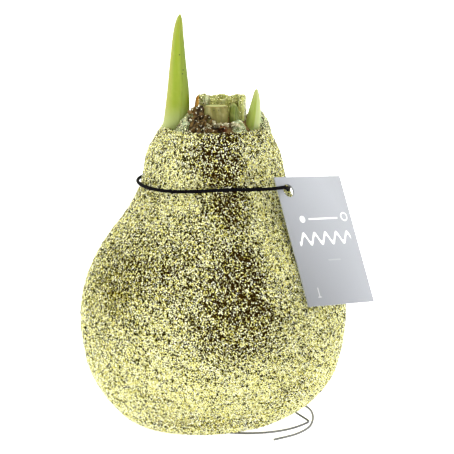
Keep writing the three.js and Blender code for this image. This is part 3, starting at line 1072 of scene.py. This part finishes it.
cut_green, _, _ = green_skin(
    "cut leaf", paint(120, 124, 54), paint(190, 192, 112), paint(222, 222, 168),
    grain=0.8 * mm, roughness=0.25, specks=0.12, veiny=0.8,
)
hand_over(outer_sheath, "cut_leaf", cut_green, "leaf_bases")
hand_over(inner_sheath, "cut_leaf", cut_green)

# %% [markdown]
# ## Stump, bud and shoots
# All four are grown ring by ring like the coat, only slimmer: a barrel that was cut flat, a small closed
# bud, and two pointed shoots. A shoot is two leaves pressed together, so its side shows a long seam where
# one edge lies over the other. The seam is pushed into the front, at one share of the half width all the
# way up.

# %% Stump and bud
stump_stations = [
    (1.3, -7.4, 113.5, 4.0, 3.0), (1.4, -7.4, 117, 4.4, 3.2), (1.4, -7.3, 120, 4.5, 3.2),
    (1.4, -7.2, 122.3, 4.2, 3.0), (1.4, -7.2, 122.9, 3.4, 2.4), (1.4, -7.2, 123.0, 0.3, 0.3),
]
bud_stations = [
    (8.0, -6.4, 113.5, 1.8, 1.5), (8.0, -6.4, 117, 1.95, 1.6), (8.0, -6.4, 120.5, 1.75, 1.4),
    (8.0, -6.4, 122.6, 1.1, 1.0), (8.0, -6.4, 123.6, 0.15, 0.15),
]
stump_x = 1.4
stump_y = -7.3
cut_y = -7.2
stump = grow_smooth("stump", stump_stations, 3, 40)
x, y, z = points_of(stump).T
turn = np.arctan2(y - stump_y, x - stump_x)
swell = 1 + 0.03 * np.sin(9 * turn + z) * step_up(z, 114, 118)
hollow = np.exp(-(((x - stump_x) / 2.2) ** 2) - ((y - cut_y) / 1.5) ** 2)
sunk = 0.5 * hollow * step_up(z, 122, 122.8)
swollen = [stump_x + (x - stump_x) * swell, stump_y + (y - stump_y) * swell, z - sunk]
move_points(stump, np.column_stack(swollen))
stump_green, graph, green = green_skin(
    "cut stump", paint(78, 77, 26), paint(120, 115, 54), paint(146, 139, 88),
    grain=0.9 * mm, roughness=0.42, specks=0.26, veiny=0.45,
)
facing_up = graph.part(graph.node("NewGeometry", give="Normal"), "Z")
slanting = facing_up.above(0.25, 0.7) * (1 - facing_up.above(0.8, 0.97))
green = graph.blend(slanting * 0.7, green, paint(110, 92, 40))
# Faces that look up are painted paler: the cut top's own paler colour, and painted light on it.
green = graph.blend(facing_up.above(0.85, 0.98) * 0.8, green, paint(156, 160, 92))
dress(graph, base_color=green)
hand_over(stump, "cut_leaf", stump_green, "neck_stump")
bud = grow_smooth("bud", bud_stations, 4, 24)
bud_green, _, _ = green_skin(
    "dark bud", paint(70, 84, 24), paint(114, 124, 46), paint(140, 146, 80), grain=0.7 * mm, roughness=0.3
)
hand_over(bud, "dark_leaf", bud_green, "shoot_bud")

# %% Shoots
tall_stations = [
    (-12.4, -0.8, 107.5, 4.6, 2.9), (-13.5, -0.9, 112.5, 5.3, 3.4), (-13.2, -1, 117.2, 4.8, 3.3),
    (-12.65, -1, 127, 4.1, 2.9), (-12.65, -1, 138, 3.0, 2.3), (-12.5, -1, 148.4, 1.95, 1.6),
    (-12.1, -1, 153.6, 1.15, 1.0), (-11.8, -1, 155.9, 0.12, 0.12),
]
short_stations = [
    (13.6, -2.4, 108.5, 2.7, 2.2), (14.7, -2.2, 114, 2.75, 2.3), (15.4, -2, 118.5, 2.5, 2.0),
    (16.05, -2, 124, 1.6, 1.4), (16.2, -2, 127.4, 0.75, 0.7), (16.3, -2, 128.3, 0.12, 0.12),
]


def shoot(name, stations, seam_share, seam_depth):
    """A pointed shoot whose front shows a seam at a share of its half width."""
    line = smooth_through(stations, 6)
    piece = grow(name, line, 48)
    smooth_finely(piece, 1)
    x, y, z = points_of(piece).T
    rows = np.array(line)
    middle = [np.interp(z, rows[:, 2], rows[:, column]) for column in (0, 1)]
    half = np.interp(z, rows[:, 2], rows[:, 3])
    across = (x - middle[0]) / np.maximum(half, 0.1)
    front = step_up(-(y - middle[1]), -0.2, 0.2)
    overlap = seam_depth * step_up(across, seam_share - 0.03, seam_share + 0.03)
    groove = seam_depth * np.exp(-(((across - seam_share) / 0.06) ** 2))
    body = np.minimum(1, half / 1.5)
    move_points(piece, np.column_stack([x, y + (overlap * 0.6 + groove) * front * body, z]))
    keep_measure(piece, "across", across)
    keep_measure(piece, "height", (z - rows[0, 2]) / (rows[-1, 2] - rows[0, 2]))
    return piece


def shoot_finish(name, left, middle, right, tip, foot, seam_share):
    """Greens that change from the left edge over the middle to the right edge, and from foot to tip. The
    change across is painted light and shade, one side lighter and the other darker as light falls on the
    shoot, and the paler foot is painted light against the shade round it.
    """
    finish, graph, veined = green_skin(
        name, paint(113, 133, 19), paint(139, 152, 48), paint(143, 154, 60),
        grain=0.9 * mm, roughness=0.34, veiny=0.5,
    )
    across = graph.measure("across")
    height = graph.measure("height")
    green = graph.blend(0.55, veined, middle)
    green = graph.blend((0 - across).above(0.35, 0.95) * 0.85, green, left)
    green = graph.blend(across.above(seam_share, seam_share + 0.06) * 0.45, green, right)
    green = graph.blend(across.above(0.6, 1.0) * 0.6, green, right)
    green = graph.blend(height.above(0.72, 0.98) * 0.6, green, tip)
    green = graph.blend((1 - height).above(0.66, 0.86) * 0.8, green, foot)
    dress(graph, base_color=green)
    return finish, graph, green


tall_seam = 0.34
tall = shoot("tall_shoot", tall_stations, tall_seam, 0.22)
# Painted light and shade: the tall shoot is lighter at the left and darker at the right, and its foot is
# painted paler.
tall_green, graph, green = shoot_finish(
    "tall shoot",
    left=paint(148, 148, 60),
    middle=paint(121, 139, 23),
    right=paint(92, 110, 18),
    tip=paint(136, 142, 52),
    foot=paint(154, 164, 106),
    seam_share=tall_seam,
)
speck_places = [(-12.0, 141.0), (-10.7, 135.4), (-10.9, 134.0)]  # x and z, in millimetres
speck_radius = 0.28
marks = 0.0
x_here = graph.part(graph.place(), "X")
z_here = graph.part(graph.place(), "Z")
for speck_x, speck_z in speck_places:
    dx = (x_here - speck_x * mm) * (1 / (speck_radius * mm))
    dz = (z_here - speck_z * mm) * (1 / (speck_radius * mm))
    marks = (1 - (dx * dx + dz * dz).above(0.5, 1.2)) + marks
dress(graph, base_color=graph.blend(marks, green, paint(62, 74, 22)))
hand_over(tall, "leaf", tall_green, "shoot_tall")

short = shoot("short_shoot", short_stations, -0.2, 0.12)
# Painted light: the short shoot is paler at the right edge and at its foot.
short_green, _, _ = shoot_finish(
    "short shoot",
    left=paint(146, 158, 76),
    middle=paint(145, 159, 80),
    right=paint(180, 188, 142),
    tip=paint(156, 162, 102),
    foot=paint(178, 188, 130),
    seam_share=0.15,
)
hand_over(short, "leaf", short_green, "shoot_short")

# %% [markdown]
# ## Wax that ran up the shoots
# Where the coat meets the cut neck the wax is a thin film, milky and nearly clear of glitter. Four low
# cones of it climb the foot of the short shoot and of the bud, and fill the corner by the tall shoot. They
# are grown like the rest and pushed out of true by a cloud texture.

# %% Wax films
film_finish, graph = finish_named(
    "bare wax film", specular_ior_level=0.5, subsurface_weight=0.35, subsurface_scale=2 * mm, alpha=0.92
)
mist = graph.cloud(1.6 * mm, 4)
grit = graph.cloud(0.45 * mm, 3)
milky = graph.blend(mist.above(0.4, 0.65), paint(112, 122, 72), paint(200, 208, 168))
milky = graph.blend(grit.above(0.56, 0.62) * 0.85, milky, paint(74, 68, 34))
dress(
    graph,
    base_color=milky,
    roughness=0.3 + mist * 0.2,
    normal=graph.bump(mist + grit * 0.6, 0.4 * mm, 0.7),
)
film_lumps = clouds("film lumps", 1.8)


def wax_film(name, stations):
    """A low cone of bare wax. Its lumps are as deep as its size allows."""
    piece = grow_smooth(name, stations, 4, 32)
    lumps = min(0.9, 0.4 * max(station[4] for station in stations))
    roughen(piece, film_lumps, lumps, 0.6)
    hand_over(piece, "wax", film_finish)
    return piece


short_film = wax_film("film_by_short_shoot", [
    (18.0, 1.2, 110.5, 4.2, 4.4), (17.9, 1.0, 113.5, 3.7, 3.6), (17.8, 0.8, 116.0, 2.9, 2.7),
    (17.6, 0.6, 118.2, 1.9, 1.8), (17.3, 0.4, 119.9, 1.1, 1.0), (17.0, 0.3, 120.6, 0.2, 0.2),
])
wax_film("film_by_tall_shoot", [
    (-9.0, -4.2, 112.5, 2.8, 2.6), (-8.8, -4.0, 115.5, 2.1, 2.0), (-8.4, -3.7, 118.0, 1.4, 1.3),
    (-8.1, -3.4, 119.8, 0.9, 0.8), (-8.0, -3.2, 120.6, 0.3, 0.3),
])
corner_film = wax_film("film_in_left_corner", [
    (-10.6, -7.6, 111.5, 3.4, 4.2), (-10.3, -7.2, 114.3, 2.9, 3.6), (-9.8, -6.2, 116.6, 2.0, 2.6),
    (-9.2, -5.2, 118.8, 1.1, 1.5), (-9.0, -4.8, 119.6, 0.3, 0.3),
])
bud_film = wax_film("film_by_bud", [
    (9.4, -9.4, 111.5, 3.6, 3.8), (9.3, -9.0, 114.2, 3.2, 3.0), (9.2, -8.6, 116.0, 2.7, 2.2),
    (9.2, -8.2, 117.2, 1.8, 1.3), (9.2, -8.0, 117.6, 0.6, 0.4),
])

# %% Pale membrane in the cut
membrane_stations = [
    (-1.7, -3.2, 113.8, 0.9, 0.45), (-1.7, -3.3, 118, 0.95, 0.45), (-1.8, -3.3, 123, 0.95, 0.4),
    (-1.7, -3.3, 125.6, 0.85, 0.35), (-1.6, -3.3, 126.2, 0.6, 0.2),
]
membrane = grow_smooth("membrane", membrane_stations, 4, 20)
hand_over(membrane, "cut_leaf", film_finish)

# %% [markdown]
# ## Stray glitter
# Dust from the dipping sticks to whatever is near: the neck's scales, the moist cut leaves, and more and
# more of it down the wax film by the short shoot. These flakes fall at random places, evenly over the
# faces of a piece, and a rule for each piece, mostly by height, says where they stay.


# %% Glitter round the neck
dust_lean = 0.35
dust_lift = 0.06


def dust(name, piece, count, keep, paint_name, largest, smallest=0.35):
    """Sows flakes on a piece where `keep`, a function of the place, is above a random draw.

    None is kept on faces that look well down.
    """
    points = points_of(piece)
    piece.data.calc_loop_triangles()
    triangles = points[np.array([list(t.vertices) for t in piece.data.loop_triangles])]
    by_place = np.lexsort(triangles.mean(axis=1).round(4).T)
    spots, outward = sow(triangles[by_place], count)
    good = (rng.random(count) < keep(*spots.T)) & (outward[:, 2] > -0.3)
    sizes = rng.uniform(smallest, largest, int(good.sum()))
    flakes = lay_flakes(name, spots[good], outward[good], sizes, dust_lean, dust_lift)
    hand_over(flakes, "wax", glitter_paints[paint_name])


def on_film(x, y, z):
    """More and more down the film and to the right."""
    return step_up(x * 0.6 - z, -108.5, -102.5)


def above(low, high):
    """A rule that keeps nothing below the low height and all over the high one."""
    return lambda x, y, z: step_up(z, low, high)


def below(low, high):
    """A rule that keeps all below the low height and nothing over the high one."""
    return lambda x, y, z: step_up(-z, -high, -low)


def everywhere(x, y, z):
    return np.ones(len(z))


for sowing in [  # name, on what, how many are tried, where they stay, paint, largest and smallest size
    ("dust_on_film", short_film, 1500, on_film, "glitter_pale", 0.7),
    ("dust_on_film_dark", short_film, 500, on_film, "glitter_painted_dark", 0.6),
    ("dust_on_bud_film", bud_film, 260, below(114, 117), "glitter_pale", 0.8),
    ("dust_in_corner", corner_film, 420, below(115, 119), "glitter_pale", 0.9),
    ("dark_dust_in_corner", corner_film, 120, below(115, 119), "glitter_painted_dark", 0.8),
    ("dust_on_scales", neck_scales, 260, above(112, 116), "glitter_silvery", 0.9),
    ("dust_on_heap", heap, 32, everywhere, "glitter_silvery", 1.9, 0.8),
    ("dust_on_scraps", neck_scraps, 70, everywhere, "glitter_pale", 0.9),
    ("dust_on_leaves", outer_sheath, 1100, above(116, 124), "glitter_pale", 0.9),
    ("dark_dust_on_leaves", outer_sheath, 120, above(117, 124), "glitter_painted_dark", 0.8),
    ("dust_on_inner_leaf", inner_sheath, 600, above(116, 124), "glitter_lemon", 0.9),
    ("dark_dust_on_inner_leaf", inner_sheath, 70, above(117, 124), "glitter_painted_dark", 0.8),
]:
    dust(*sowing)

# %% [markdown]
# ## Cords and wire as swept tubes
# A cord follows a line, so it is best drawn as a curve with a round section and then turned into a mesh.
# The elastic runs round the neck just clear of the wax, and its loop goes through the hole in the card.


# %% Sweeping
def sweep(name, line, radius, closed):
    """A round tube along a line of places in millimetres."""
    start_fresh()
    curve = bpy.data.curves.new(name, "CURVE")
    curve.dimensions = "3D"
    spline = curve.splines.new("POLY")
    spline.points.add(len(line) - 1)
    for point, place in zip(spline.points, line):
        point.co = (*(Vector(place) * mm), 1)
    spline.use_cyclic_u = closed
    curve.bevel_depth = radius * mm
    curve.bevel_resolution = 3
    curve.use_fill_caps = not closed
    piece = bpy.data.objects.new(name, curve)
    bpy.context.scene.collection.objects.link(piece)
    pick(piece)
    bpy.ops.object.convert(target="MESH")
    piece = bpy.context.object
    bpy.ops.object.shade_smooth()
    return piece


# %% Where the card hangs
card_width = 33.1
card_height = 49.6
card_thickness = 0.6
hole_radius = 2.5
hole_from_left = 5.2
hole_from_top = 5.3
hole_place = Vector((27.7, -15.4, 92.6))
card_faces = -46.3  # degrees round the bulb
card_leans = 28.2
card_swings = -6.3
card_turn = Matrix.Rotation(math.radians(card_faces + 90), 4, "Z")
card_turn = card_turn @ Matrix.Rotation(math.radians(90 - card_leans), 4, "X")
card_turn = card_turn @ Matrix.Rotation(math.radians(card_swings), 4, "Z")
card_across = card_turn @ Vector((1, 0, 0))
card_up = card_turn @ Vector((0, 1, 0))
card_out = card_turn @ Vector((0, 0, 1))

# %% Elastic
elastic_radius = 0.65
elastic_height = 93.8
elastic_clearance = 0.36
elastic_sag = 2.4
elastic_front_rise = 1.1
elastic_slant = 0.8
middle_x, middle_y = middle_at(elastic_height)
loop = []
for degrees in range(10, 301, 10):
    turn = math.radians(degrees)
    at_front = max(0, -math.sin(turn))
    height = elastic_height - elastic_sag * max(0, math.cos(turn)) ** 2 + elastic_front_rise * at_front**2
    height = height - elastic_slant * math.sin(2 * turn) * at_front
    neck_radius = np.interp(height, [z for r, z in outer], [r for r, z in outer])
    reach = neck_radius * lobes_at(turn) + elastic_radius + elastic_clearance
    loop.append((middle_x + reach * math.cos(turn), middle_y + reach * math.sin(turn), height))
loop_by_card = [(-8.8, 0.5, 1.2), (-5.4, 0.7, 1.4), (-2.8, 0.9, 1.4), (-0.2, 1.0, 0), (1.9, 0.8, -1.6)]
for along, up, outwards in loop_by_card:
    loop.append(hole_place + card_across * along + card_up * up + card_out * outwards)
wrapped = [*loop[-2:], *loop, *loop[:2]]
line = smooth_through(wrapped, 6, even=False)[12:-12]
elastic = sweep("elastic", line[:-1], elastic_radius, True)
elastic_finish, graph = finish_named("woven elastic", specular_ior_level=0.03)
weave = graph.cloud(0.28 * mm, 2)
dress(
    graph,
    base_color=graph.blend(weave.above(0.4, 0.65), paint(2, 2, 3), paint(14, 12, 16)),
    roughness=0.6 + weave * 0.2,
    normal=graph.bump(weave, 0.12 * mm),
)
hand_over(elastic, "elastic", elastic_finish, "neck_elastic")

# %% [markdown]
# ## Card tag
# A tag is die-cut from stiff card with a silver face and a plain grey back. It starts as a block of its
# own size, its edges are rounded by a hair, and a punch takes out the hole. Only then is it turned into
# its place. Its print is a plain pattern of marks, and a stored measure keeps the ink on the front.

# %% Card
start_fresh()
bpy.ops.mesh.primitive_cube_add(size=1)
card = bpy.context.object
card.name = "card_tag"
middle = Vector((card_width / 2 - hole_from_left, hole_from_top - card_height / 2, 0))
stretch = Matrix.Diagonal((card_width * mm, card_height * mm, card_thickness * mm, 1))
card.data.transform(Matrix.Translation(middle * mm) @ stretch)
add_modifier(card, "BEVEL", width=0.12 * mm, segments=2)
bpy.ops.mesh.primitive_cylinder_add(vertices=64, radius=hole_radius * mm, depth=4 * mm)
punch = bpy.context.object
add_modifier(card, "BOOLEAN", object=punch, operation="DIFFERENCE", solver="EXACT")
bpy.data.objects.remove(punch)
bpy.ops.object.shade_smooth_by_angle(angle=math.radians(30))
flat = points_of(card)
keep_measure(card, "across", (flat[:, 0] - flat[:, 0].min()) / card_width)
keep_measure(card, "height", (flat[:, 1] - flat[:, 1].min()) / card_height)
keep_measure(card, "face", flat[:, 2] > 0)
card.data.transform(Matrix.Translation(hole_place * mm) @ card_turn)

# %% Silver card finish
silver, graph = finish_named("silver card", metallic=0.35, specular_ior_level=0.5)
fibre = graph.cloud(0.35 * mm, 4)
across = graph.measure("across")
height = graph.measure("height")
# The face is painted darker at the lower left and lighter at the upper right: painted light and shade, as
# light falls across the card.
grey = graph.blend(across * 0.7 + height * 0.55, paint(118, 120, 126), paint(172, 175, 185))
from_left = across * card_width
from_foot = height * card_height
ink_edge = 0.2  # how far the edge of a mark fades, in millimetres


def bar(middle_x, middle_y, half_width, half_height, sway=0.0):
    """An inked bar on the card, in millimetres from its lower left corner."""
    aside = abs(from_left - middle_x)
    higher = abs(from_foot - middle_y - sway)
    within = 1 - aside.above(half_width, half_width + ink_edge)
    return within * (1 - higher.above(half_height, half_height + ink_edge))


def away_from(middle_x, middle_y):
    over = from_left - middle_x
    up = from_foot - middle_y
    return graph.node("Math", {"operation": "SQRT"}, {0: over * over + up * up})


wave = graph.node("Math", {"operation": "SINE"}, {0: from_left * 1.15})
band = bar(17.0, 25.4, 13.0, 0.7, wave * 1.8)
rule = bar(18.6, 33.0, 7.2, 0.2)
dot = 1 - away_from(8.2, 33.0).above(1.2, 1.2 + ink_edge)
off_ring = abs(away_from(29.4, 33.4) - 1.5)
ring = 1 - off_ring.above(0.15, 0.15 + ink_edge)
faint = bar(18.8, 17.0, 3.0, 0.15) * 0.3 + bar(6.6, 5.0, 0.1, 1.7) + bar(6.6, 3.2, 0.8, 0.05)
on_front = graph.measure("face").above(0.4, 0.6)
ink = (band + rule + dot + ring + faint * 0.3) * on_front
stock = graph.blend(fibre * 0.12, grey, paint(120, 120, 128))
stock = graph.blend(on_front, paint(190, 192, 194), stock)
dress(
    graph,
    base_color=graph.blend(ink, stock, paint(250, 250, 252)),
    roughness=0.38 + fibre * 0.1,
    normal=graph.bump(fibre, 0.03 * mm, 0.4),
)
hand_over(card, "card", silver, "tag")

# %% [markdown]
# ## Wire stand
# The stand is one length of steel wire: a flat ring of a little over one turn under the bulb, bent up into
# a leg whose end is pushed into the bulb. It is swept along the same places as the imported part's wire.

# %% Wire
wire_radius = 0.4
ring_centre = Vector((13.3, 9.6))
ring_radius = 25.2
ring_from = -36
ring_opens = -372
ring_to = -434
ring_opening = 0.15
ring_points = 23
leg_foot = Vector((36.5, 0.5, 0))
leg_direction = Vector((-0.82, 0.34, 0.46)).normalized()
leg_points = [(20, 0, 0), (14, 0, 0), (8, 0, 0), (3, 0, 0), (1.3, 0, 0.04), (0, -0.8, 0.1)]
route = []
for along, forward, up in leg_points:
    route.append(leg_foot + leg_direction * along + Vector((0, forward, up + wire_radius)))
for degrees in np.linspace(ring_from, ring_to, ring_points):
    turn = math.radians(degrees)
    reach = ring_radius + max(0, ring_opens - degrees) * ring_opening
    x = ring_centre.x + reach * math.cos(turn)
    y = ring_centre.y + reach * math.sin(turn)
    route.append((x, y, wire_radius))
wire = sweep("wire_stand_piece", smooth_through(route, 6, even=False), wire_radius, False)
steel, graph = finish_named("drawn steel", metallic=1.0)
drawn = graph.cloud(0.4 * mm, 3)
dress(
    graph,
    base_color=graph.blend(drawn.above(0.4, 0.7), paint(132, 132, 134), paint(74, 74, 78)),
    roughness=0.3 + drawn * 0.2,
    normal=graph.bump(drawn, 0.02 * mm, 0.5),
)
hand_over(wire, "wire", steel, "wire_stand")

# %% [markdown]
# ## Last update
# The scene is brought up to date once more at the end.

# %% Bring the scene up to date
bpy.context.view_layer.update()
